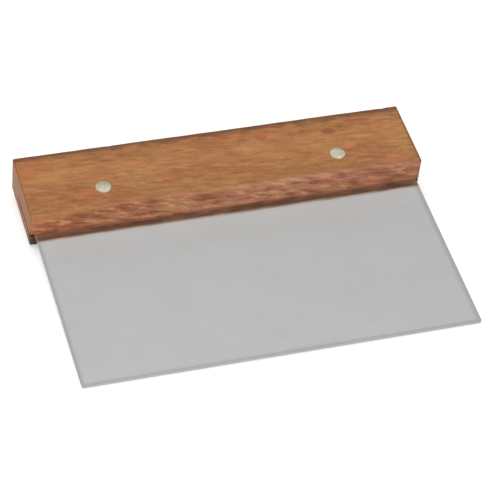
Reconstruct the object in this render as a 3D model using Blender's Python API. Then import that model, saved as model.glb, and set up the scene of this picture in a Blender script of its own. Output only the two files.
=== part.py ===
"""Bench scraper: a stainless blade in the saw kerf of a one-piece hardwood handle, held by two compression rivets.

Units are metres. The tool is drawn in its own flat frame (X along the handle, Y from the blade's free edge towards the
handle's back, Z normal to the blade, with the handle's front face at Y = 0 and the blade's middle plane at Z = 0) under
one empty. That empty then sets the tool down as it lies on a worktop: on the handle's lower front edge and the blade's
free edge, with the world origin on the worktop, under the middle of the tool's outline.
"""

import math

import bmesh
import bpy
from mathutils import Matrix, Vector

MM = 0.001

# ---- driving dimensions -------------------------------------------------------------------------------------------

BLADE_WIDTH = 152.4 * MM  # 6 in
BLADE_EXPOSED = 76.2 * MM  # 3 in, free edge to handle
BLADE_THICKNESS = 1.0 * MM
BLADE_TANG = 20.0 * MM  # depth held in the kerf
BLADE_CORNER_R = 0.8 * MM
BLADE_EDGE_BREAK = 0.12 * MM
BLADE_OFFSET_X = 0.3 * MM  # the blade sits this much to the right of the handle's middle

HANDLE_LENGTH = 155.6 * MM  # 6 1/8 in
HANDLE_DEPTH = 31.75 * MM  # 1 1/4 in, front face to back face
HANDLE_HEIGHT = 15.875 * MM  # 5/8 in
HANDLE_EDGE_R = 1.1 * MM

KERF_ABOVE_UNDERSIDE = 5.5 * MM  # middle of the kerf; the block has more wood above the blade than below it
KERF_SIDE_GAP = 0.2 * MM  # between the blade and each wall of the kerf
KERF_END_GAP = 0.5 * MM  # between the tang and the bottom of the kerf

RIVET_X = (-47.4 * MM, 46.3 * MM)  # left, right, from the handle's middle
RIVET_Y = 10.2 * MM  # behind the handle's front face
RIVET_HEAD_R = 3.2 * MM
RIVET_HEAD_THICKNESS = 1.3 * MM
RIVET_HEAD_CROWN = 0.12 * MM  # how far the middle of a head stands above its rim
RIVET_HEAD_EDGE = 0.15 * MM
RIVET_TUBE_R = 2.0 * MM
RIVET_BORE_R = 1.6 * MM
RIVET_SHANK_R = 1.3 * MM
RIVET_SHANK_TIP = 0.35 * MM
RIVET_SEGMENTS = 48

HEAD_SIDE_GAP = 0.2 * MM  # between a head and its counterbore
FIT_GAP = 0.3 * MM  # between other neighbours inside the handle

# ---- derived dimensions -------------------------------------------------------------------------------------------

HANDLE_LOW_Z = -KERF_ABOVE_UNDERSIDE
HANDLE_TOP_Z = HANDLE_HEIGHT - KERF_ABOVE_UNDERSIDE
KERF_HEIGHT = BLADE_THICKNESS + 2 * KERF_SIDE_GAP
KERF_DEPTH = BLADE_TANG + KERF_END_GAP
COUNTERBORE_R = RIVET_HEAD_R + HEAD_SIDE_GAP
COUNTERBORE_DEPTH = RIVET_HEAD_THICKNESS + FIT_GAP
RIVET_HOLE_R = RIVET_TUBE_R + FIT_GAP

# The tool rests on the handle's lower front edge and on the lower edge of the blade's free end. The handle's edge is
# rounded, so the slope is the tangent line from that round to the blade's edge.
EDGE_Y = HANDLE_EDGE_R
EDGE_Z = HANDLE_LOW_Z + HANDLE_EDGE_R
TIP_Y = -BLADE_EXPOSED + BLADE_EDGE_BREAK
TIP_Z = -BLADE_THICKNESS / 2
REST_SLOPE = math.atan2(TIP_Z - EDGE_Z, EDGE_Y - TIP_Y) + math.asin(
    HANDLE_EDGE_R / math.hypot(TIP_Z - EDGE_Z, EDGE_Y - TIP_Y)
)


# ---- helpers ------------------------------------------------------------------------------------------------------


def clear_scene():
    for obj in list(bpy.data.objects):
        bpy.data.objects.remove(obj, do_unlink=True)


def material(name, colour, roughness, metallic):
    mat = bpy.data.materials.new(name)
    mat.use_nodes = True
    shader = mat.node_tree.nodes["Principled BSDF"]
    shader.inputs["Base Color"].default_value = (*colour, 1.0)
    shader.inputs["Roughness"].default_value = roughness
    shader.inputs["Metallic"].default_value = metallic
    mat.diffuse_color = (*colour, 1.0)
    return mat


def new_object(name, bm, mat=None, parent=None):
    mesh = bpy.data.meshes.new(name)
    bm.to_mesh(mesh)
    bm.free()
    obj = bpy.data.objects.new(name, mesh)
    bpy.context.scene.collection.objects.link(obj)
    if mat is not None:
        mesh.materials.append(mat)
    if parent is not None:
        obj.parent = parent
    return obj


def smooth(obj, degrees=35.0):
    obj.data.shade_smooth()
    obj.data.set_sharp_from_angle(angle=math.radians(degrees))


def box(low, high):
    """A closed box between two corners, as a bmesh."""
    bm = bmesh.new()
    size = [b - a for a, b in zip(low, high)]
    middle = [(a + b) / 2 for a, b in zip(low, high)]
    bmesh.ops.create_cube(
        bm, size=1.0, matrix=Matrix.Translation(middle) @ Matrix.Diagonal((*size, 1.0))
    )
    return bm


def turned(profile, segments):
    """A closed solid of revolution about Z from (radius, height) points that begin and end on the axis, listed from the bottom up along the outside."""
    bm = bmesh.new()
    verts = [bm.verts.new((r, 0.0, z)) for r, z in profile]
    edges = [bm.edges.new(pair) for pair in zip(verts, verts[1:])]
    bmesh.ops.spin(
        bm,
        geom=verts + edges,
        cent=(0, 0, 0),
        axis=(0, 0, 1),
        angle=2 * math.pi,
        steps=segments,
        use_merge=False,
    )
    bmesh.ops.remove_doubles(bm, verts=bm.verts, dist=1e-7)
    bmesh.ops.recalc_face_normals(bm, faces=bm.faces)
    return bm


def cut(obj, cutter, name):
    """A Boolean difference that stays on the object; the cutter is a hidden guide."""
    cutter.hide_render = True
    cutter.display_type = "WIRE"
    modifier = obj.modifiers.new(name, "BOOLEAN")
    modifier.operation = "DIFFERENCE"
    modifier.solver = "EXACT"
    modifier.object = cutter
    return modifier


def crowned_head(radius, crown, edge, rings=4):
    """(radius, height) points of a shallow crowned face, from its rim in to the axis, with height 0 at the rim and a small rounded edge below it."""
    points = [(radius, -edge), (radius - 0.3 * edge, -0.3 * edge)]
    flat = radius - edge
    for i in range(rings + 1):
        r = flat * (1 - i / rings)
        points.append((r, crown * (1 - (r / flat) ** 2)))
    return points


# ---- the pieces ---------------------------------------------------------------------------------------------------


def make_handle(parent, mat):
    bm = box(
        (-HANDLE_LENGTH / 2, 0.0, HANDLE_LOW_Z),
        (HANDLE_LENGTH / 2, HANDLE_DEPTH, HANDLE_TOP_Z),
    )
    handle = new_object("wood_handle", bm, mat, parent)
    ease = handle.modifiers.new("eased_edges", "BEVEL")
    ease.width = HANDLE_EDGE_R
    ease.segments = 5
    ease.limit_method = "ANGLE"
    ease.use_clamp_overlap = True

    over = 5 * MM
    kerf = new_object(
        "guide_kerf",
        box(
            (-HANDLE_LENGTH / 2 - over, -over, -KERF_HEIGHT / 2),
            (HANDLE_LENGTH / 2 + over, KERF_DEPTH, KERF_HEIGHT / 2),
        ),
        None,
        parent,
    )
    cut(handle, kerf, "saw_kerf")

    # one stepped cutter for each rivet: a through hole with a counterbore at each face
    low_seat = HANDLE_LOW_Z + COUNTERBORE_DEPTH
    top_seat = HANDLE_TOP_Z - COUNTERBORE_DEPTH
    for side, x in zip(("left", "right"), RIVET_X):
        guide = new_object(
            f"guide_hole_{side}",
            turned(
                [
                    (0, HANDLE_LOW_Z - over),
                    (COUNTERBORE_R, HANDLE_LOW_Z - over),
                    (COUNTERBORE_R, low_seat),
                    (RIVET_HOLE_R, low_seat),
                    (RIVET_HOLE_R, top_seat),
                    (COUNTERBORE_R, top_seat),
                    (COUNTERBORE_R, HANDLE_TOP_Z + over),
                    (0, HANDLE_TOP_Z + over),
                ],
                RIVET_SEGMENTS,
            ),
            None,
            parent,
        )
        guide.location = (x, RIVET_Y, 0)
        cut(handle, guide, f"rivet_hole_{side}")
    return handle


def make_blade(parent, mat):
    half = BLADE_WIDTH / 2
    low, high = -BLADE_EXPOSED, BLADE_TANG
    bm = bmesh.new()
    corners = [(-half, low), (half, low), (half, high), (-half, high)]
    verts = [bm.verts.new((x, y, -BLADE_THICKNESS / 2)) for x, y in corners]
    face = bm.faces.new(verts)
    # round the corners of the outline, then give it its thickness
    bmesh.ops.bevel(
        bm,
        geom=list(bm.verts),
        offset=BLADE_CORNER_R,
        offset_type="OFFSET",
        segments=5,
        profile=0.5,
        affect="VERTICES",
    )
    face = bm.faces[:][0]
    extruded = bmesh.ops.extrude_face_region(bm, geom=[face])
    moved = [v for v in extruded["geom"] if isinstance(v, bmesh.types.BMVert)]
    bmesh.ops.translate(bm, verts=moved, vec=(0, 0, BLADE_THICKNESS))
    bmesh.ops.recalc_face_normals(bm, faces=bm.faces)
    blade = new_object("steel_blade", bm, mat, parent)
    blade.location = (BLADE_OFFSET_X, 0, 0)
    deburr = blade.modifiers.new("broken_edges", "BEVEL")
    deburr.width = BLADE_EDGE_BREAK
    deburr.segments = 2
    deburr.limit_method = "ANGLE"
    deburr.angle_limit = math.radians(50)
    for side, x in zip(("left", "right"), RIVET_X):
        guide = new_object(
            f"guide_blade_hole_{side}",
            turned(
                [
                    (0, -3 * MM),
                    (RIVET_HOLE_R, -3 * MM),
                    (RIVET_HOLE_R, 3 * MM),
                    (0, 3 * MM),
                ],
                RIVET_SEGMENTS,
            ),
            None,
            parent,
        )
        guide.location = (x, RIVET_Y, 0)
        cut(blade, guide, f"rivet_hole_{side}")
    return blade


def male_profile():
    """Head up, shank down: the rim of the head's face is level with the handle's top face."""
    head_under = HANDLE_TOP_Z - RIVET_HEAD_THICKNESS
    tip = HANDLE_LOW_Z + RIVET_HEAD_THICKNESS + 2 * FIT_GAP
    points = [
        (0, tip),
        (RIVET_SHANK_R - RIVET_SHANK_TIP, tip),
        (RIVET_SHANK_R, tip + RIVET_SHANK_TIP),
        (RIVET_SHANK_R, head_under),
        (RIVET_HEAD_R, head_under),
    ]
    face = crowned_head(RIVET_HEAD_R, RIVET_HEAD_CROWN, RIVET_HEAD_EDGE)
    return points + [(r, HANDLE_TOP_Z + z) for r, z in face]


def female_profile():
    """Head down, tube up, with a blind bore that is open at the top."""
    head_top = HANDLE_LOW_Z + RIVET_HEAD_THICKNESS
    tube_top = HANDLE_TOP_Z - RIVET_HEAD_THICKNESS - FIT_GAP
    face = crowned_head(RIVET_HEAD_R, RIVET_HEAD_CROWN, RIVET_HEAD_EDGE)
    points = [(r, HANDLE_LOW_Z - z) for r, z in reversed(face)]
    return points + [
        (RIVET_HEAD_R, head_top),
        (RIVET_TUBE_R, head_top),
        (RIVET_TUBE_R, tube_top),
        (RIVET_BORE_R, tube_top),
        (RIVET_BORE_R, head_top + FIT_GAP),
        (0, head_top + FIT_GAP),
    ]


def make_rivets(parent, mats):
    male = turned(male_profile(), RIVET_SEGMENTS)
    female = turned(female_profile(), RIVET_SEGMENTS)
    made = []
    for side, x in zip(("left", "right"), RIVET_X):
        for half, shape in (("male", male), ("female", female)):
            name = f"rivet_{side}_{half}"
            obj = new_object(name, shape.copy(), mats[name], parent)
            obj.location = (x, RIVET_Y, 0)
            smooth(obj)
            made.append(obj)
    male.free()
    female.free()
    return made


def set_down(stand, pieces):
    """Lean the tool to its resting slope, then bring the bottom middle of its box to the world origin."""
    stand.rotation_euler = (REST_SLOPE, 0, 0)
    bpy.context.view_layer.update()
    graph = bpy.context.evaluated_depsgraph_get()
    low = Vector((1e9, 1e9, 1e9))
    high = -low
    for piece in pieces:
        evaluated = piece.evaluated_get(graph)
        mesh = evaluated.to_mesh()
        for v in mesh.vertices:
            p = evaluated.matrix_world @ v.co
            low = Vector(map(min, low, p))
            high = Vector(map(max, high, p))
        evaluated.to_mesh_clear()
    stand.location = (-(low.x + high.x) / 2, -(low.y + high.y) / 2, -low.z)
    bpy.context.view_layer.update()
    return stand.location.copy()


def main():
    clear_scene()
    stand = bpy.data.objects.new("tool", None)
    bpy.context.scene.collection.objects.link(stand)

    wood = material("oiled_hardwood", (0.37, 0.17, 0.08), 0.55, 0.0)
    steel = material("satin_stainless", (0.50, 0.50, 0.49), 0.38, 1.0)
    names = [f"rivet_{s}_{h}" for s in ("left", "right") for h in ("male", "female")]
    rivet_mats = {n: material(n + "_aluminium", (0.66, 0.63, 0.57), 0.4, 1.0) for n in names}

    handle = make_handle(stand, wood)
    smooth(handle, 25)
    blade = make_blade(stand, steel)
    smooth(blade, 25)
    rivets = make_rivets(stand, rivet_mats)
    set_down(stand, [handle, blade, *rivets])


main()
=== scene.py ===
import math

import bmesh
import bpy
from mathutils import Matrix, Vector, noise


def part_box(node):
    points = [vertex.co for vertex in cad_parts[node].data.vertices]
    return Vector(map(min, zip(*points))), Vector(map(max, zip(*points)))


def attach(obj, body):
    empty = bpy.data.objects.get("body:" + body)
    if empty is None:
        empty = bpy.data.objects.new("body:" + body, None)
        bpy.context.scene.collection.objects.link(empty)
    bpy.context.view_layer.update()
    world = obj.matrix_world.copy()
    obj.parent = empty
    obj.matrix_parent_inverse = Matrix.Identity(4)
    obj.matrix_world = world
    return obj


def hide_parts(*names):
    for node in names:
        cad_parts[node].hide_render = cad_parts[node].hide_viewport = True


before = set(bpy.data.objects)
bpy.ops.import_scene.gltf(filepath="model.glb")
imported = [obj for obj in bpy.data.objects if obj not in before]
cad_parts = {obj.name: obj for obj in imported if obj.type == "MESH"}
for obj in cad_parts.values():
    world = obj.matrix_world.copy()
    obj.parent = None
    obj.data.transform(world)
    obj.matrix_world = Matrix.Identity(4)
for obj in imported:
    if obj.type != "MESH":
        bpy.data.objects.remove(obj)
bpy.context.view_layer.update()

MM = 0.001

# =====================================================================================================================
# The tool's own flat frame, inside the row frame. X runs along the handle, Y from the blade's free edge towards the
# handle's back, Z is normal to the blade; Y = 0 is the handle's front face and Z = 0 the blade's middle plane.
# Lengths in the tool frame are in mm.
# =====================================================================================================================
SLOPE = 0.064723
ORIGIN = Vector((0.0, 0.02204846, 0.00541964))
TOOL = Matrix.Translation(ORIGIN) @ Matrix.Rotation(SLOPE, 4, "X")

HANDLE_L, HANDLE_D, HANDLE_H = 155.6, 31.75, 15.875
LOW_Z = -5.5  # the kerf is sawn below the block's mid-height
TOP_Z = LOW_Z + HANDLE_H
EDGE_R = 0.7
BLADE_W, BLADE_OUT, BLADE_IN, BLADE_T = 152.4, 76.2, 20.0, 1.0
BLADE_X = 0.3
RIVET_X = (-47.4, 46.3)
RIVET_Y = 10.2
HEAD_R, HEAD_T, HEAD_CROWN = 3.2, 1.3, 0.12
TUBE_R, BORE_R, SHANK_R = 2.0, 1.35, 1.3


def where(name, expect_low, expect_high):
    """The CAD node's box has to be where this script expects it, to 0.3 mm."""
    low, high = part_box(name)
    for a, b in zip([*low, *high], [*expect_low, *expect_high]):
        if abs(a * 1000 - b) > 0.3:
            raise RuntimeError(f"{name} isn't where scene.py expects it")


def row_box(points):
    moved = [TOOL @ (Vector(p) * MM) * 1000 for p in points]
    return (
        [min(p[i] for p in moved) for i in range(3)],
        [max(p[i] for p in moved) for i in range(3)],
    )


_low, _high = row_box(
    [(BLADE_X + sx * BLADE_W / 2, y, sz * BLADE_T / 2) for sx in (-1, 1) for y in (-BLADE_OUT, BLADE_IN) for sz in (-1, 1)]
)
where("steel_blade", _low, _high)

# =====================================================================================================================
# Camera: the photograph's viewing angle
# =====================================================================================================================
cam_data = bpy.data.cameras.new("camera")
cam = bpy.data.objects.new("camera", cam_data)
bpy.context.scene.collection.objects.link(cam)
bpy.context.scene.camera = cam
cam_data.sensor_width = 36.0
cam_data.lens = 2328.4 / 500.0 * 36.0
cam_data.clip_start, cam_data.clip_end = 0.01, 20.0
_eye = TOOL @ (Vector((-220.72, -588.93, 635.86)) * MM)
_fwd = (TOOL.to_3x3() @ Vector((0.25297, 0.64287, -0.723))).normalized()
_up = (TOOL.to_3x3() @ Vector((0.14565, 0.71348, 0.68537))).normalized()
_right = _fwd.cross(_up).normalized()
_up = _right.cross(_fwd)
cam.matrix_world = Matrix(
    (
        (_right.x, _up.x, -_fwd.x, _eye.x),
        (_right.y, _up.y, -_fwd.y, _eye.y),
        (_right.z, _up.z, -_fwd.z, _eye.z),
        (0, 0, 0, 1),
    )
)


# =====================================================================================================================
# Node helpers
# =====================================================================================================================
def lin(r, g, b, k=1.0):
    """sRGB 0..255 to linear, times k."""
    out = []
    for c in (r, g, b):
        c /= 255.0
        c = c / 12.92 if c <= 0.04045 else ((c + 0.055) / 1.055) ** 2.4
        out.append(c * k)
    return tuple(out)


class Graph:
    """A small way of writing shader node graphs as expressions."""

    def __init__(self, name):
        self.mat = bpy.data.materials.new(name)
        self.mat.use_nodes = True
        self.tree = self.mat.node_tree
        self.shader = self.tree.nodes["Principled BSDF"]

    def node(self, kind, **props):
        n = self.tree.nodes.new(kind)
        for k, v in props.items():
            setattr(n, k, v)
        return n

    def put(self, socket, value):
        if isinstance(value, bpy.types.NodeSocket):
            self.tree.links.new(value, socket)
        elif hasattr(socket.default_value, "__len__"):
            if not hasattr(value, "__len__"):
                value = (value,) * len(socket.default_value)
            if len(socket.default_value) == 4 and len(value) == 3:
                value = (*value, 1.0)
            socket.default_value = value
        else:
            socket.default_value = value

    def math(self, op, a, b=0.0, c=0.0, clamp=False):
        n = self.node("ShaderNodeMath", operation=op, use_clamp=clamp)
        for socket, value in zip(n.inputs, (a, b, c)):
            self.put(socket, value)
        return n.outputs[0]

    def add(self, a, b):
        return self.math("ADD", a, b)

    def sub(self, a, b):
        return self.math("SUBTRACT", a, b)

    def mul(self, a, b):
        return self.math("MULTIPLY", a, b)

    def vec(self, op, a, b=(0, 0, 0), scale=None):
        n = self.node("ShaderNodeVectorMath", operation=op)
        self.put(n.inputs[0], a)
        if scale is not None:
            self.put(n.inputs["Scale"], scale)
        else:
            self.put(n.inputs[1], b)
        return n.outputs["Value"] if op in ("LENGTH", "DOT_PRODUCT", "DISTANCE") else n.outputs["Vector"]

    def split(self, v):
        n = self.node("ShaderNodeSeparateXYZ")
        self.put(n.inputs[0], v)
        return n.outputs[0], n.outputs[1], n.outputs[2]

    def join(self, x, y, z):
        n = self.node("ShaderNodeCombineXYZ")
        for socket, value in zip(n.inputs, (x, y, z)):
            self.put(socket, value)
        return n.outputs[0]

    def noise(self, v, scale=1.0, detail=2.0, rough=0.5, distortion=0.0):
        n = self.node("ShaderNodeTexNoise", noise_dimensions="3D")
        self.put(n.inputs["Vector"], v)
        self.put(n.inputs["Scale"], scale)
        self.put(n.inputs["Detail"], detail)
        self.put(n.inputs["Roughness"], rough)
        self.put(n.inputs["Distortion"], distortion)
        return n.outputs["Fac"], n.outputs["Color"]

    def voronoi(self, v, scale=1.0, feature="F1", random=1.0):
        n = self.node("ShaderNodeTexVoronoi", voronoi_dimensions="3D", feature=feature)
        self.put(n.inputs["Vector"], v)
        self.put(n.inputs["Scale"], scale)
        self.put(n.inputs["Randomness"], random)
        return n.outputs

    def step(self, x, low, high, to_low=0.0, to_high=1.0):
        """Smoothstep from low to high."""
        n = self.node("ShaderNodeMapRange", interpolation_type="SMOOTHSTEP")
        self.put(n.inputs["Value"], x)
        self.put(n.inputs["From Min"], low)
        self.put(n.inputs["From Max"], high)
        self.put(n.inputs["To Min"], to_low)
        self.put(n.inputs["To Max"], to_high)
        return n.outputs["Result"]

    def line(self, x, low, high, to_low=0.0, to_high=1.0):
        n = self.node("ShaderNodeMapRange", interpolation_type="LINEAR", clamp=True)
        self.put(n.inputs["Value"], x)
        self.put(n.inputs["From Min"], low)
        self.put(n.inputs["From Max"], high)
        self.put(n.inputs["To Min"], to_low)
        self.put(n.inputs["To Max"], to_high)
        return n.outputs["Result"]

    def mix(self, fac, a, b, blend="MIX"):
        n = self.node("ShaderNodeMix", data_type="RGBA", blend_type=blend)
        self.put(n.inputs[0], fac)
        self.put(n.inputs[6], a)
        self.put(n.inputs[7], b)
        return n.outputs[2]

    def ramp(self, x, stops, interpolation="LINEAR"):
        n = self.node("ShaderNodeValToRGB")
        r = n.color_ramp
        r.interpolation = interpolation
        while len(r.elements) < len(stops):
            r.elements.new(0.5)
        for e, (pos, colour) in zip(r.elements, stops):
            e.position = pos
            e.color = (*colour, 1.0) if len(colour) == 3 else colour
        self.put(n.inputs[0], x)
        return n.outputs["Color"]

    def bump(self, height, strength, distance, normal=None):
        n = self.node("ShaderNodeBump")
        self.put(n.inputs["Strength"], strength)
        self.put(n.inputs["Distance"], distance)
        self.put(n.inputs["Height"], height)
        if normal is not None:
            self.put(n.inputs["Normal"], normal)
        return n.outputs["Normal"]

    def tool_mm(self, at=(0.0, 0.0, 0.0)):
        """Where a point is in the tool's flat frame, in mm, counted from at. Pieces are built in the row frame."""
        tc = self.node("ShaderNodeTexCoord")
        away = self.vec("SUBTRACT", tc.outputs["Object"], tuple(ORIGIN))
        turn = self.node("ShaderNodeVectorRotate", rotation_type="X_AXIS")
        self.put(turn.inputs["Vector"], away)
        turn.inputs["Angle"].default_value = -SLOPE
        scaled = self.vec("SCALE", turn.outputs["Vector"], scale=1000.0)
        return self.vec("SUBTRACT", scaled, at)


WOOD_K = (0.875, 0.805, 0.595)  # from the colours that the wood shows to its own colours, without light and gloss


# =====================================================================================================================
# Materials
# =====================================================================================================================
def wood_material():
    g = Graph("oiled_hardwood")
    p = g.tool_mm()
    x, y, z = g.split(p)

    # the block is sawn a little across the grain: the fibres drift forwards and down towards the right
    fx = x
    fy = g.add(y, g.mul(x, 0.11))
    fz = g.add(z, g.mul(x, 0.17))
    f = g.join(fx, fy, fz)

    slow, slow_c = g.noise(g.vec("MULTIPLY", f, (0.016, 0.07, 0.09)), 1.0, 2.0, 0.5)
    warp = g.mul(g.sub(slow, 0.5), 9.0)
    wave, _ = g.noise(g.vec("MULTIPLY", f, (0.07, 0.25, 0.35)), 1.0, 2.0, 0.55)
    warp2 = g.mul(g.sub(wave, 0.5), 3.2)

    # growth rings round a pith that lies far behind the handle: tight straight lines on the top, broad figure in front
    ry = g.sub(fy, 62.0)
    rz = g.sub(fz, -9.0)
    radius = g.math("SQRT", g.add(g.mul(ry, ry), g.mul(rz, rz)))
    radius = g.add(g.add(radius, warp), warp2)
    ring = g.math("FRACT", g.mul(radius, 1 / 2.9))
    late = g.mul(g.step(ring, 0.35, 0.88), g.step(ring, 1.0, 0.9))

    # front face: redder and a little darker than the top, partly the wood's own colour and partly painted shade of that
    # side; strong figure. The tan of the top runs down over the front at the left.
    front_edge = g.add(0.9, g.mul(g.sub(wave, 0.5), 1.6))
    front = g.step(y, g.add(front_edge, 0.5), g.sub(front_edge, 0.7))
    run_down = g.line(x, -78.0, -30.0, 4.2, 0.2)
    depth = g.sub(TOP_Z, z)  # 0 on the top face
    low_enough = g.step(g.sub(depth, g.add(run_down, g.mul(g.sub(slow, 0.5), 5.0))), -1.2, 1.4)
    red = g.mul(front, low_enough)

    hue, hue_c = g.noise(g.vec("MULTIPLY", f, (0.055, 0.16, 0.16)), 1.0, 2.0, 0.5)
    tan = g.mix(slow, lin(179, 127, 82), lin(171, 118, 78))
    tan = g.mix(g.step(hue, 0.50, 0.70, 0.0, 0.75), tan, lin(190, 119, 82))
    tan = g.mix(g.step(hue, 0.50, 0.30, 0.0, 0.75), tan, lin(167, 124, 74))
    rosy = g.mix(wave, lin(171, 117, 97), lin(158, 106, 88))
    rosy = g.mix(g.line(x, -40.0, 45.0), rosy, lin(163, 112, 109))
    rosy = g.mix(g.step(hue, 0.52, 0.36, 0.0, 0.75), rosy, lin(166, 126, 94))
    rosy = g.mix(g.step(hue, 0.48, 0.64, 0.0, 0.75), rosy, lin(178, 102, 92))
    colour = g.mix(red, tan, rosy)

    # broad soft patches
    patch, patch_c = g.noise(g.vec("MULTIPLY", f, (0.06, 0.14, 0.14)), 1.0, 2.0, 0.5)
    colour = g.mix(g.step(patch, 0.47, 0.68, 0.0, 0.50), colour, lin(160, 101, 70))
    colour = g.mix(g.step(patch, 0.49, 0.30, 0.0, 0.45), colour, lin(196, 142, 98))

    # rings
    ring_amount = g.add(g.mul(red, 0.34), 0.22)
    colour = g.mix(g.mul(late, ring_amount), colour, lin(137, 84, 55))

    # fibre streaks, long and fine
    streak, _ = g.noise(g.vec("MULTIPLY", f, (0.075, 0.72, 0.72)), 1.0, 3.0, 0.55)
    colour = g.mix(g.step(streak, 0.48, 0.70, 0.0, 0.48), colour, lin(136, 82, 48))
    colour = g.mix(g.step(streak, 0.50, 0.28, 0.0, 0.44), colour, lin(201, 149, 108))

    # the front is palest right of its middle and darkest at both ends
    pale = g.mul(g.line(x, -8.0, 14.0), g.line(x, 64.0, 46.0))
    colour = g.mix(g.mul(g.mul(front, pale), 0.27), colour, lin(190, 141, 130))
    low_pale = g.mul(g.mul(g.line(x, -54.0, -42.0), g.line(x, 20.0, 8.0)), g.step(z, 6.8, 4.2))
    high_pale = g.mul(g.mul(g.line(x, 10.0, 18.0), g.line(x, 34.0, 26.0)), g.step(z, 4.8, 7.0))
    colour = g.mix(g.mul(g.mul(front, g.math("MAXIMUM", low_pale, high_pale)), 0.22), colour, lin(196, 150, 142))
    dull = g.math("MAXIMUM", g.mul(g.line(x, -48.0, -68.0), 0.6), g.line(x, 56.0, 70.0))
    colour = g.mix(g.mul(g.mul(front, dull), 0.27), colour, lin(128, 80, 62))

    # flecks: short dashes, pale and dark, coarse and strong on the figured front
    fleck_at = g.vec("MULTIPLY", f, (0.145, 0.60, 0.60))
    fleck, _ = g.noise(fleck_at, 1.0, 2.0, 0.45)
    strong = g.mul(red, g.line(x, 40.0, 62.0, 1.0, 0.62))
    colour = g.mix(g.mul(g.step(fleck, 0.54, 0.66), g.add(g.mul(strong, 0.46), 0.24)), colour, lin(122, 68, 52))
    colour = g.mix(g.mul(g.step(fleck, 0.46, 0.33), g.add(g.mul(strong, 0.46), 0.18)), colour, lin(212, 160, 140))

    # pores: short dark dashes along the grain, dots on the end grain
    pore, _ = g.noise(g.vec("MULTIPLY", f, (0.32, 4.2, 4.2)), 1.0, 1.0, 0.4)
    crowd = g.step(ring, 0.75, 0.10, 0.62, 0.565)
    pores = g.step(pore, crowd, g.add(crowd, 0.07))
    colour = g.mix(g.mul(pores, 0.36), colour, lin(110, 66, 40))

    # a small dark burl mark behind the right rivet, and a reddish patch beside the left one
    def spot(cx, cy, rx, ry_, low=1.15, high=0.45):
        dx = g.mul(g.sub(x, cx), 1 / rx)
        dy = g.mul(g.sub(y, cy), 1 / ry_)
        d = g.math("SQRT", g.add(g.mul(dx, dx), g.mul(dy, dy)))
        d = g.add(d, g.mul(g.sub(streak, 0.5), 0.9))
        return g.mul(g.step(d, low, high), g.step(z, TOP_Z - 2.4, TOP_Z - 0.4))

    colour = g.mix(g.mul(spot(46.3, 22.6, 3.4, 2.3), 0.80), colour, lin(132, 66, 34))
    colour = g.mix(g.mul(spot(-53.6, 7.8, 4.2, 3.0), 0.48), colour, lin(192, 106, 78))
    colour = g.mix(g.mul(spot(52.3, 13.6, 3.2, 2.2), 0.45), colour, lin(204, 124, 78))
    colour = g.mix(g.mul(spot(19.5, 24.8, 3.0, 1.6), 0.55), colour, lin(160, 94, 50))
    colour = g.mix(g.mul(spot(-73.0, 25.0, 11.0, 6.5), 0.42), colour, lin(192, 112, 84))
    colour = g.mix(g.mul(spot(-66.0, 1.6, 6.0, 2.4), 0.18), colour, lin(184, 96, 72))

    # distances to the block's faces: the middle one of the three is the distance to the nearest edge
    dx = g.sub(HANDLE_L / 2, g.math("ABSOLUTE", x))
    dy = g.math("MINIMUM", y, g.sub(HANDLE_D, y))
    dz = g.math("MINIMUM", g.sub(TOP_Z, z), g.sub(z, LOW_Z))
    edge = g.math("MAXIMUM", g.math("MINIMUM", dx, dy), g.math("MINIMUM", g.math("MAXIMUM", dx, dy), dz))
    # painted highlight: the eased upper edges are lightened where they catch the light, most along the middle of the
    # top-front edge; the same mask makes all eased edges a little glossier with wear
    wear_and_edge_highlight = g.step(g.add(edge, g.mul(g.sub(wave, 0.5), 1.0)), 1.5, 0.35)
    middle = g.mul(g.line(x, -75.0, -15.0, 0.35, 1.0), g.line(x, 35.0, 75.0, 1.0, 0.5))
    colour = g.mix(g.mul(g.mul(g.mul(wear_and_edge_highlight, middle), g.step(z, 2.0, 4.0)), 0.14), colour, lin(200, 150, 130))

    # the top is a little darker towards its long edges, where it is held
    held = g.math("MAXIMUM", g.step(y, 11.0, 4.0), g.step(y, HANDLE_D - 8.0, HANDLE_D - 3.0))
    colour = g.mix(g.mul(g.mul(held, g.step(z, TOP_Z - 1.2, TOP_Z - 0.3)), 0.15), colour, lin(128, 80, 52))
    centre = g.mul(g.step(y, 11.0, 16.0), g.step(y, HANDLE_D - 7.0, HANDLE_D - 11.0))
    colour = g.mix(g.mul(g.mul(centre, g.step(z, TOP_Z - 1.2, TOP_Z - 0.3)), 0.16), colour, lin(205, 152, 106))

    # painted shade: the back's eased top edge turns away from the light and is darkened
    back_at = g.add(y, g.mul(g.sub(fleck, 0.5), 3.5))
    back_edge_shade = g.mul(g.step(back_at, HANDLE_D - 4.1, HANDLE_D - 1.1), g.step(z, TOP_Z - 1.6, TOP_Z - 0.9))
    colour = g.mix(g.mul(back_edge_shade, 0.66), colour, lin(92, 58, 36))
    # painted shade: the top's eased right edge turns away from the light and is darkened
    right_edge_shade = g.mul(g.step(g.add(x, g.mul(g.sub(fleck, 0.5), 2.0)), HANDLE_L / 2 - 1.5, HANDLE_L / 2 - 0.6), g.step(z, TOP_Z - 1.6, TOP_Z - 0.9))
    colour = g.mix(g.mul(right_edge_shade, 0.55), colour, lin(92, 58, 36))
    # painted shade down the front face's right end
    corner = g.mul(g.step(x, HANDLE_L / 2 - 2.2, HANDLE_L / 2 - 0.6), g.mul(g.step(y, 2.0, 0.6), g.step(z, TOP_Z - 0.5, TOP_Z - 3.5)))
    colour = g.mix(g.mul(corner, 0.55), colour, lin(104, 54, 40))
    # painted shade: the front face of the jaw below the blade lies in shadow and is darkened almost to black
    jaw_shade = g.mul(g.step(y, 2.5, 0.8), g.step(z, 0.75, 0.35))
    colour = g.mix(g.mul(jaw_shade, 0.92), colour, lin(42, 25, 15))

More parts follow.
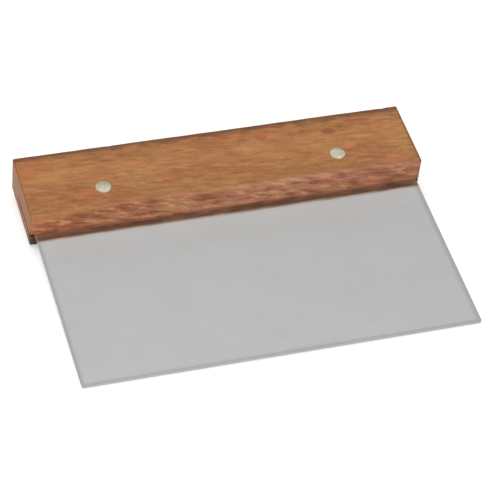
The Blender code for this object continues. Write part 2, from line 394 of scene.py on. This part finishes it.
    # end grain drinks the oil and is darker
    end = g.step(dx, 0.75, 0.15)
    colour = g.mix(g.mul(end, 0.85), colour, lin(146, 92, 32))
    colour = g.mix(g.mul(g.mul(end, late), 0.30), colour, lin(104, 62, 30))
    colour = g.mix(g.mul(g.mul(end, pores), 0.45), colour, lin(70, 42, 22))
    # the end face is darker again along its back and bottom borders
    outer = g.math("MAXIMUM", g.step(y, HANDLE_D - 2.6, HANDLE_D - 0.5), g.step(z, LOW_Z + 1.8, LOW_Z + 0.3))
    colour = g.mix(g.mul(g.mul(end, outer), 0.60), colour, lin(78, 62, 40))
    # painted shade: the end of the jaw below the blade, near the front, is darkened nearly to black
    jaw_end_shade = g.mul(g.step(y, 5.0, 1.5), g.step(z, 0.5, -0.4))
    colour = g.mix(g.mul(g.mul(end, jaw_end_shade), 0.80), colour, lin(50, 34, 22))

    colour = g.mix(1.0, colour, WOOD_K, "MULTIPLY")
    g.put(g.shader.inputs["Base Color"], colour)

    rough = g.add(0.50, g.mul(g.sub(streak, 0.5), 0.16))
    rough = g.add(rough, g.mul(pores, 0.18))
    rough = g.sub(rough, g.mul(wear_and_edge_highlight, 0.06))
    g.put(g.shader.inputs["Roughness"], rough)
    g.shader.inputs["Specular IOR Level"].default_value = 0.30
    g.shader.inputs["IOR"].default_value = 1.5

    height = g.add(g.mul(streak, 0.35), g.mul(pores, -1.0))
    height = g.add(height, g.mul(late, 0.25))
    g.put(g.shader.inputs["Normal"], g.bump(height, 0.35, 0.00006))
    return g.mat


def steel_material():
    g = Graph("satin_stainless")
    p = g.tool_mm((BLADE_X, 0.0, 0.0))
    x, y, z = g.split(p)
    fine, _ = g.noise(g.vec("MULTIPLY", p, (0.030, 7.0, 7.0)), 1.0, 2.0, 0.55)
    broad, _ = g.noise(g.vec("MULTIPLY", p, (0.012, 1.1, 1.1)), 1.0, 2.0, 0.5)
    blotch, _ = g.noise(g.vec("MULTIPLY", p, (0.035, 0.05, 0.05)), 1.0, 2.0, 0.55)
    speck = g.voronoi(g.vec("MULTIPLY", p, (0.33, 0.33, 0.33)), 1.0)
    specks = g.mul(g.step(speck["Distance"], 0.075, 0.045), g.step(g.split(speck["Color"])[0], 0.62, 0.66))

    colour = g.mix(blotch, (0.468, 0.472, 0.474), (0.494, 0.494, 0.492))
    colour = g.mix(g.step(fine, 0.40, 0.66, 0.0, 0.10), colour, (0.41, 0.41, 0.41))
    colour = g.mix(g.step(broad, 0.45, 0.70, 0.0, 0.07), colour, (0.43, 0.43, 0.43))
    cloud, _ = g.noise(g.vec("MULTIPLY", p, (0.16, 0.22, 0.22)), 1.0, 2.0, 0.5)
    colour = g.mix(g.step(cloud, 0.35, 0.65, 0.0, 0.5), colour, (0.482, 0.490, 0.486))
    colour = g.mix(g.mul(specks, 0.4), colour, (0.27, 0.265, 0.25))
    # a little brighter and cooler next to the wood
    near = g.step(y, -16.0, -5.0)
    colour = g.mix(g.mul(near, 0.8), colour, (0.500, 0.528, 0.534))

    # painted shade: the face is darkened next to its cut edges, where the sheet's thin edge lies in shadow, most widely
    # at the right; the edges are also a little rougher
    ragged = g.mul(g.sub(broad, 0.5), 0.5)
    rim = g.step(g.add(g.add(x, BLADE_W / 2), ragged), 1.7, 0.45)
    rim = g.math("MAXIMUM", rim, g.step(g.add(g.sub(BLADE_W / 2, x), ragged), 2.5, 0.9))
    rim = g.math("MAXIMUM", rim, g.step(g.add(g.add(y, BLADE_OUT), ragged), 1.9, 0.4))
    colour = g.mix(g.mul(rim, 0.34), colour, (0.31, 0.31, 0.31))

    # painted reflection and shadow: a brown band along the joint with the handle stands for the wood mirrored in the
    # blade where the handle shades it, warm next to the wood and dark at its outer end
    uneven = g.mul(g.sub(blotch, 0.5), 0.9)
    out = g.add(y, uneven)
    stain = g.step(out, -5.0, -3.6)
    tint = g.ramp(g.line(out, -4.2, 0.0), [(0.0, (0.34, 0.30, 0.275)), (0.31, (0.32, 0.235, 0.175)), (0.62, (0.355, 0.24, 0.165)), (0.80, (0.45, 0.30, 0.205)), (1.0, (0.78, 0.52, 0.375))])
    mottle, _ = g.noise(g.vec("MULTIPLY", p, (0.13, 0.60, 0.60)), 1.0, 2.0, 0.55)
    tint = g.mix(g.step(mottle, 0.50, 0.66, 0.0, 0.50), tint, (0.24, 0.135, 0.10))
    tint = g.mix(g.step(mottle, 0.50, 0.34, 0.0, 0.45), tint, (0.58, 0.40, 0.285))
    # the painted reflection is lighter and warmer near the joint at the left end
    lighter_left_band = g.mul(g.line(x, -54.0, -70.0), g.step(out, -3.4, -1.6))
    tint = g.mix(g.mul(lighter_left_band, 0.5), tint, (0.62, 0.36, 0.25))
    colour = g.mix(stain, colour, tint)
    g.put(g.shader.inputs["Base Color"], colour)

    rough = g.add(0.60, g.mul(g.sub(fine, 0.5), 0.10))
    rough = g.add(rough, g.mul(g.sub(blotch, 0.5), 0.10))
    rough = g.add(rough, g.mul(rim, 0.05))
    g.put(g.shader.inputs["Roughness"], rough)
    g.shader.inputs["Metallic"].default_value = 1.0
    height = g.add(fine, g.mul(broad, 0.6))
    g.put(g.shader.inputs["Normal"], g.bump(height, 0.12, 0.00002))
    return g.mat


def rivet_material(name, seed, at, bright):
    g = Graph(name)
    p = g.tool_mm(at)
    x, y, z = g.split(p)
    r = g.math("SQRT", g.add(g.mul(x, x), g.mul(y, y)))
    lathe, _ = g.noise(g.join(g.mul(r, 6.0), seed, 0.0), 1.0, 2.0, 0.6)
    rub, _ = g.noise(g.vec("MULTIPLY", g.vec("ADD", p, (seed, 0, 0)), (0.5, 3.4, 1.0)), 1.0, 3.0, 0.6)
    stain, _ = g.noise(g.vec("MULTIPLY", g.vec("ADD", p, (0, seed, 0)), (0.42, 0.42, 0.42)), 1.0, 2.0, 0.6)
    colour = g.mix(g.step(stain, 0.38, 0.62), bright, (0.485, 0.44, 0.335))
    colour = g.mix(g.step(rub, 0.50, 0.68, 0.0, 0.6), colour, (0.44, 0.42, 0.35))
    # a dark ring inside the head's rim: grime at the joint with the wood and painted shade along the rim; the ring is
    # also rougher
    rim_grime_and_shade = g.step(g.add(r, g.mul(g.sub(rub, 0.5), 0.5)), HEAD_R - 0.75, HEAD_R - 0.05)
    colour = g.mix(g.mul(rim_grime_and_shade, 0.50), colour, (0.34, 0.25, 0.16))
    g.put(g.shader.inputs["Base Color"], colour)
    g.put(g.shader.inputs["Roughness"], g.add(g.add(0.45, g.mul(g.sub(rub, 0.5), 0.22)), g.mul(rim_grime_and_shade, 0.15)))
    g.shader.inputs["Metallic"].default_value = 1.0
    height = g.add(g.mul(lathe, 0.7), rub)
    g.put(g.shader.inputs["Normal"], g.bump(height, 0.25, 0.00003))
    return g.mat


# =====================================================================================================================
# Geometry
# =====================================================================================================================
def link(name, mesh, mat, local=None):
    """A piece whose mesh, drawn in the tool frame at local, is set down in the row frame."""
    mesh.transform(TOOL @ Matrix.Translation(Vector(local or (0, 0, 0)) * MM))
    obj = bpy.data.objects.new(name, mesh)
    bpy.context.scene.collection.objects.link(obj)
    mesh.materials.append(mat)
    return obj


def from_bmesh(name, bm):
    mesh = bpy.data.meshes.new(name)
    bm.to_mesh(mesh)
    bm.free()
    return mesh


def spaced(a, b, step):
    """Values from a to b, b left out, no further apart than step."""
    n = max(1, int(math.ceil(abs(b - a) / step - 1e-9)))
    return [a + (b - a) * i / n for i in range(n)]


KERF_HALF = BLADE_T / 2 + 0.03
KERF_DEPTH = BLADE_IN + 0.4
LIP_R = 0.22


def handle_section():
    """The handle's cross-section as (y, z, normal y, normal z, share of the end rounding), once round."""
    D, B, H, R, k, q = HANDLE_D, LOW_Z, TOP_Z, EDGE_R, KERF_HALF, LIP_R
    pts = []

    def run(p, q_, n, step, share=1.0):
        for t in spaced(0.0, 1.0, step / math.dist(p, q_)):
            pts.append((p[0] + (q_[0] - p[0]) * t, p[1] + (q_[1] - p[1]) * t, *n, share))

    def arc(c, r, a, b, steps, share=1.0, share_end=None):
        for i in range(steps):
            t = i / steps
            w = math.radians(a + (b - a) * t)
            s = share if share_end is None else share + (share_end - share) * t
            pts.append((c[0] + r * math.cos(w), c[1] + r * math.sin(w), math.cos(w), math.sin(w), s))

    inner = 0.18
    run((KERF_DEPTH, k), (q, k), (0, -1), 3.0, inner)
    arc((q, k + q), q, -90, -180, 4, inner, 1.0)
    run((0, k + q), (0, H - R), (-1, 0), 0.9)
    arc((R, H - R), R, 180, 90, 7)
    run((R, H), (D - R, H), (0, 1), 0.9)
    arc((D - R, H - R), R, 90, 0, 7)
    run((D, H - R), (D, B + R), (1, 0), 0.9)
    arc((D - R, B + R), R, 0, -90, 7)
    run((D - R, B), (R, B), (0, -1), 0.9)
    arc((R, B + R), R, -90, -180, 7)
    run((0, B + R), (0, -k - q), (-1, 0), 0.9)
    arc((q, -k - q), q, -180, -270, 4, 1.0, inner)
    run((q, -k), (KERF_DEPTH, -k), (0, 1), 3.0, inner)
    run((KERF_DEPTH, -k), (KERF_DEPTH, k), (-1, 0), 0.6, 0.0)
    return pts


DENTS = [  # (x, y, z, radius, depth) in mm: small knocks on the handle's edges
    (-61.0, 0.2, 10.24, 1.5, 0.16),
    (-18.0, 0.1, 10.34, 1.1, 0.10),
    (27.5, 0.3, 10.14, 1.8, 0.14),
    (63.0, 0.2, 10.24, 1.2, 0.12),
    (71.5, 31.6, 10.24, 1.6, 0.18),
    (-40.0, 31.7, 10.24, 1.3, 0.12),
    (5.0, 31.6, -5.36, 1.7, 0.15),
    (-77.6, 3.0, 10.04, 1.3, 0.16),
    (77.6, 24.0, 10.14, 1.5, 0.16),
    (-30.0, 0.2, -5.36, 1.6, 0.14),
    (44.0, 0.2, -5.36, 1.2, 0.12),
]


def build_handle():
    section = handle_section()
    half = HANDLE_L / 2
    r = EDGE_R
    # stations along X with how far the section is drawn in there by the rounding of the ends
    ends = [(half - r + r * math.sin(w), r - r * math.cos(w)) for w in (math.radians(90 * i / 7) for i in range(8))]
    stations = [(-sx, d) for sx, d in reversed(ends)]
    stations += [(s, 0.0) for s in spaced(-half + r, half - r, 0.9)[1:]]
    stations += [(sx, d) for sx, d in ends]

    bm = bmesh.new()
    rows = []
    for sx, d in stations:
        row = []
        for y, z, ny, nz, share in section:
            here = d * share
            yy, zz = y - ny * here, z - nz * here
            # hand-sanded: the faces wander inwards by a few hundredths, the eased edges a little more
            p = Vector((sx, yy, zz))
            corner = min(1.0, 2.2 * abs(ny * nz))
            n1 = 0.5 + 0.5 * noise.noise(Vector((sx * 0.045, yy * 0.11 + 3.1, zz * 0.11)))
            n2 = 0.5 + 0.5 * noise.noise(Vector((sx * 0.16 + 9.0, yy * 0.5, zz * 0.5)))
            sink = 0.02 + 0.05 * max(0.0, n1) + corner * 0.16 * max(0.0, n2 - 0.3)
            if share < 0.99:
                sink = 0.0
            for cx, cy, cz, cr, depth in DENTS:
                q = math.dist((sx, yy, zz), (cx, cy, cz)) / cr
                if q < 1:
                    sink += depth * (1 - q * q) ** 2
            row.append(bm.verts.new((sx * MM, (yy - ny * sink) * MM, (zz - nz * sink) * MM)))
        rows.append(row)
    n = len(section)
    for a, b in zip(rows, rows[1:]):
        for i in range(n):
            j = (i + 1) % n
            bm.faces.new((a[i], b[i], b[j], a[j]))
    bm.faces.new(rows[0][::-1] if False else rows[0])
    bm.faces.new(rows[-1])
    bmesh.ops.recalc_face_normals(bm, faces=bm.faces)
    caps = [f for f in bm.faces if len(f.verts) > 4]
    bmesh.ops.triangulate(bm, faces=caps, quad_method="BEAUTY", ngon_method="BEAUTY")
    return from_bmesh("wood_block", bm)


def turned(profile, segments):
    """A closed solid of revolution about Z from (radius, height) points in mm that begin and end on the axis."""
    bm = bmesh.new()
    verts = [bm.verts.new((r * MM, 0.0, z * MM)) for r, z in profile]
    edges = [bm.edges.new(pair) for pair in zip(verts, verts[1:])]
    bmesh.ops.spin(bm, geom=verts + edges, cent=(0, 0, 0), axis=(0, 0, 1), angle=2 * math.pi, steps=segments, use_merge=False)
    bmesh.ops.remove_doubles(bm, verts=bm.verts, dist=1e-7)
    bmesh.ops.recalc_face_normals(bm, faces=bm.faces)
    return bm


def carve(obj, profile, at, segments=96):
    """Cuts a turned shape out of obj for good."""
    mesh = from_bmesh("cutter", turned(profile, segments))
    cutter = bpy.data.objects.new("cutter", mesh)
    bpy.context.scene.collection.objects.link(cutter)
    cutter.matrix_world = TOOL @ Matrix.Translation(Vector(at) * MM)
    mod = obj.modifiers.new("cut", "BOOLEAN")
    mod.operation, mod.solver, mod.object = "DIFFERENCE", "EXACT", cutter
    bpy.context.view_layer.update()
    graph = bpy.context.evaluated_depsgraph_get()
    done = bpy.data.meshes.new_from_object(obj.evaluated_get(graph), preserve_all_data_layers=True, depsgraph=graph)
    obj.modifiers.clear()
    old = obj.data
    obj.data = done
    bpy.data.meshes.remove(old)
    bpy.data.objects.remove(cutter, do_unlink=True)
    bpy.data.meshes.remove(mesh)


def tidy(obj):
    """Welds points that the carving left less than a micrometre apart."""
    bm = bmesh.new()
    bm.from_mesh(obj.data)
    bmesh.ops.remove_doubles(bm, verts=bm.verts, dist=1e-6)
    bmesh.ops.dissolve_degenerate(bm, dist=1e-6, edges=bm.edges)
    bm.to_mesh(obj.data)
    bm.free()


def smooth(obj, degrees):
    obj.data.shade_smooth()
    obj.data.set_sharp_from_angle(angle=math.radians(degrees))


# ---- handle ---------------------------------------------------------------------------------------------------------
WOOD = wood_material()
handle = link("handle_wood", build_handle(), WOOD)
BORE = HEAD_R + 0.03
SEAT_LOW, SEAT_TOP = LOW_Z + HEAD_T + 0.05, TOP_Z - HEAD_T - 0.05
for rx in RIVET_X:
    carve(
        handle,
        [
            (0, LOW_Z - 3),
            (BORE + 0.12, LOW_Z - 3),
            (BORE + 0.12, LOW_Z + 0.02),
            (BORE, LOW_Z + 0.16),
            (BORE, SEAT_LOW),
            (TUBE_R + 0.05, SEAT_LOW),
            (TUBE_R + 0.05, SEAT_TOP),
            (BORE, SEAT_TOP),
            (BORE, TOP_Z - 0.16),
            (BORE + 0.12, TOP_Z - 0.02),
            (BORE + 0.12, TOP_Z + 3),
            (0, TOP_Z + 3),
        ],
        (rx, RIVET_Y, 0),
    )
tidy(handle)
smooth(handle, 30)
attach(handle, "root")
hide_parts("wood_handle")


# ---- blade ----------------------------------------------------------------------------------------------------------
def build_blade():
    """A sheet with rounded corners and broken edges."""
    half, low, high = BLADE_W / 2, -BLADE_OUT, BLADE_IN
    cr, eb, t = 0.8, 0.12, BLADE_T / 2
    outline = []
    for cx, cy, a in ((half - cr, low + cr, -90), (half - cr, high - cr, 0), (-half + cr, high - cr, 90), (-half + cr, low + cr, 180)):
        for i in range(9):
            w = math.radians(a + 90 * i / 8)
            outline.append((cx + cr * math.cos(w), cy + cr * math.sin(w), math.cos(w), math.sin(w)))
    bm = bmesh.new()
    loops = []
    for inset, z in ((eb, t), (0.3 * eb, t - 0.3 * eb), (0.0, t - eb), (0.0, -t + eb), (0.3 * eb, -t + 0.3 * eb), (eb, -t)):
        loops.append([bm.verts.new(((x - nx * inset) * MM, (y - ny * inset) * MM, z * MM)) for x, y, nx, ny in outline])
    n = len(outline)
    for a, b in zip(loops, loops[1:]):
        for i in range(n):
            j = (i + 1) % n
            bm.faces.new((a[i], b[i], b[j], a[j]))
    bm.faces.new(loops[0])
    bm.faces.new(loops[-1][::-1])
    bmesh.ops.recalc_face_normals(bm, faces=bm.faces)
    return from_bmesh("blade_sheet", bm)


STEEL = steel_material()
blade = link("blade_steel", build_blade(), STEEL, (BLADE_X, 0, 0))
for rx in RIVET_X:
    carve(blade, [(0, -3), (TUBE_R + 0.05, -3), (TUBE_R + 0.05, 3), (0, 3)], (rx, RIVET_Y, 0))
smooth(blade, 20)
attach(blade, "root")
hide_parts("steel_blade")


# ---- rivets ---------------------------------------------------------------------------------------------------------
def head_face(sign):
    """From the rim to the axis over the crowned face; the rim's face is level with the wood."""
    edge = 0.16
    flat = HEAD_R - edge
    pts = [(HEAD_R, -edge)]
    for i in range(1, 5):
        w = math.radians(90 * i / 4)
        pts.append((flat + edge * math.cos(w), -edge + edge * math.sin(w)))
    for i in range(1, 13):
        q = flat * (1 - i / 12)
        pts.append((q, HEAD_CROWN * (1 - (q / flat) ** 2)))
    if sign > 0:
        return [(r, TOP_Z - 0.01 + z) for r, z in pts]
    return [(r, LOW_Z + 0.01 - z) for r, z in pts]


def build_male():
    under, tip = TOP_Z - HEAD_T, LOW_Z + HEAD_T + 0.6
    return [(0, tip), (SHANK_R - 0.35, tip), (SHANK_R, tip + 0.35), (SHANK_R, under), (HEAD_R, under), *head_face(1)]


def build_female():
    head_top, tube_top = LOW_Z + HEAD_T, TOP_Z - HEAD_T - 0.05
    return [
        *reversed(head_face(-1)),
        (HEAD_R, head_top),
        (TUBE_R, head_top),
        (TUBE_R, tube_top),
        (BORE_R, tube_top),
        (BORE_R, head_top + 0.3),
        (0, head_top + 0.3),
    ]


HEAD_BRIGHT = [(0.59, 0.51, 0.39), (0.665, 0.605, 0.49)]  # the left pair is duller
for i, (side, rx) in enumerate(zip(("left", "right"), RIVET_X)):
    for half_name, profile in (("male", build_male()), ("female", build_female())):
        node = f"rivet_{side}_{half_name}"
        piece = link(node + "_metal", from_bmesh(node, turned(profile, 96)), rivet_material(node + "_aluminium", 3.7 * i + (1.3 if half_name == "male" else 7.9), (rx, RIVET_Y, 0.0), HEAD_BRIGHT[i]), (rx, RIVET_Y, 0))
        smooth(piece, 30)
        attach(piece, "root")
        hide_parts(node)


# =====================================================================================================================
# Stage and light
# =====================================================================================================================
def plain(name, colour, rough=0.9):
    g = Graph(name)
    g.put(g.shader.inputs["Base Color"], colour)
    g.put(g.shader.inputs["Roughness"], rough)
    g.shader.inputs["Specular IOR Level"].default_value = 0.0
    return g.mat


bm = bmesh.new()
bmesh.ops.create_grid(bm, x_segments=1, y_segments=1, size=3.0)
floor_mesh = from_bmesh("floor", bm)
floor = bpy.data.objects.new("floor", floor_mesh)
bpy.context.scene.collection.objects.link(floor)
floor_white = plain("floor_white", (0.93, 0.93, 0.93))
floor_white.node_tree.nodes["Principled BSDF"].inputs["Emission Color"].default_value = (1.0, 1.0, 1.0, 1.0)
floor_white.node_tree.nodes["Principled BSDF"].inputs["Emission Strength"].default_value = 0.27
floor_mesh.materials.append(floor_white)
floor.location = (0, 0, -0.0003)

world = bpy.data.worlds.new("studio")
bpy.context.scene.world = world
world.use_nodes = True
bg = world.node_tree.nodes["Background"]
bg.inputs["Color"].default_value = (1.0, 1.0, 1.0, 1.0)
bg.inputs["Strength"].default_value = 0.38


def area(name, at, to, size, power):
    """A rectangular soft box whose long side is level."""
    data = bpy.data.lights.new(name, "AREA")
    data.shape = "RECTANGLE"
    data.size, data.size_y = size
    data.energy = power
    obj = bpy.data.objects.new(name, data)
    bpy.context.scene.collection.objects.link(obj)
    back = (Vector(at) - Vector(to)).normalized()
    level = Vector((0, 0, 1)).cross(back).normalized()
    obj.rotation_mode = "QUATERNION"
    obj.rotation_quaternion = Matrix((level, back.cross(level), back)).transposed().to_quaternion()
    obj.location = at
    return obj


STRIP_UP = math.radians(68.5)
strip_at = TOOL.to_3x3() @ Vector((0.0, math.cos(STRIP_UP), math.sin(STRIP_UP))) * 5.0
area("strip_behind", strip_at, (0, 0, 0), (6.0, 0.437), 125.0)
area("front", (0.2, -2.5, 0.9), (0, 0, 0), (2.5, 1.2), 30.0)
area("key", (-0.5, -1.3, 0.95), (0, 0, 0), (1.2, 0.9), 8.0)
area("left", (-2.2, -0.3, 1.0), (0, 0, 0), (1.5, 1.2), 8.0)

bpy.context.scene.view_settings.view_transform = "Standard"
bpy.context.scene.view_settings.look = "None"
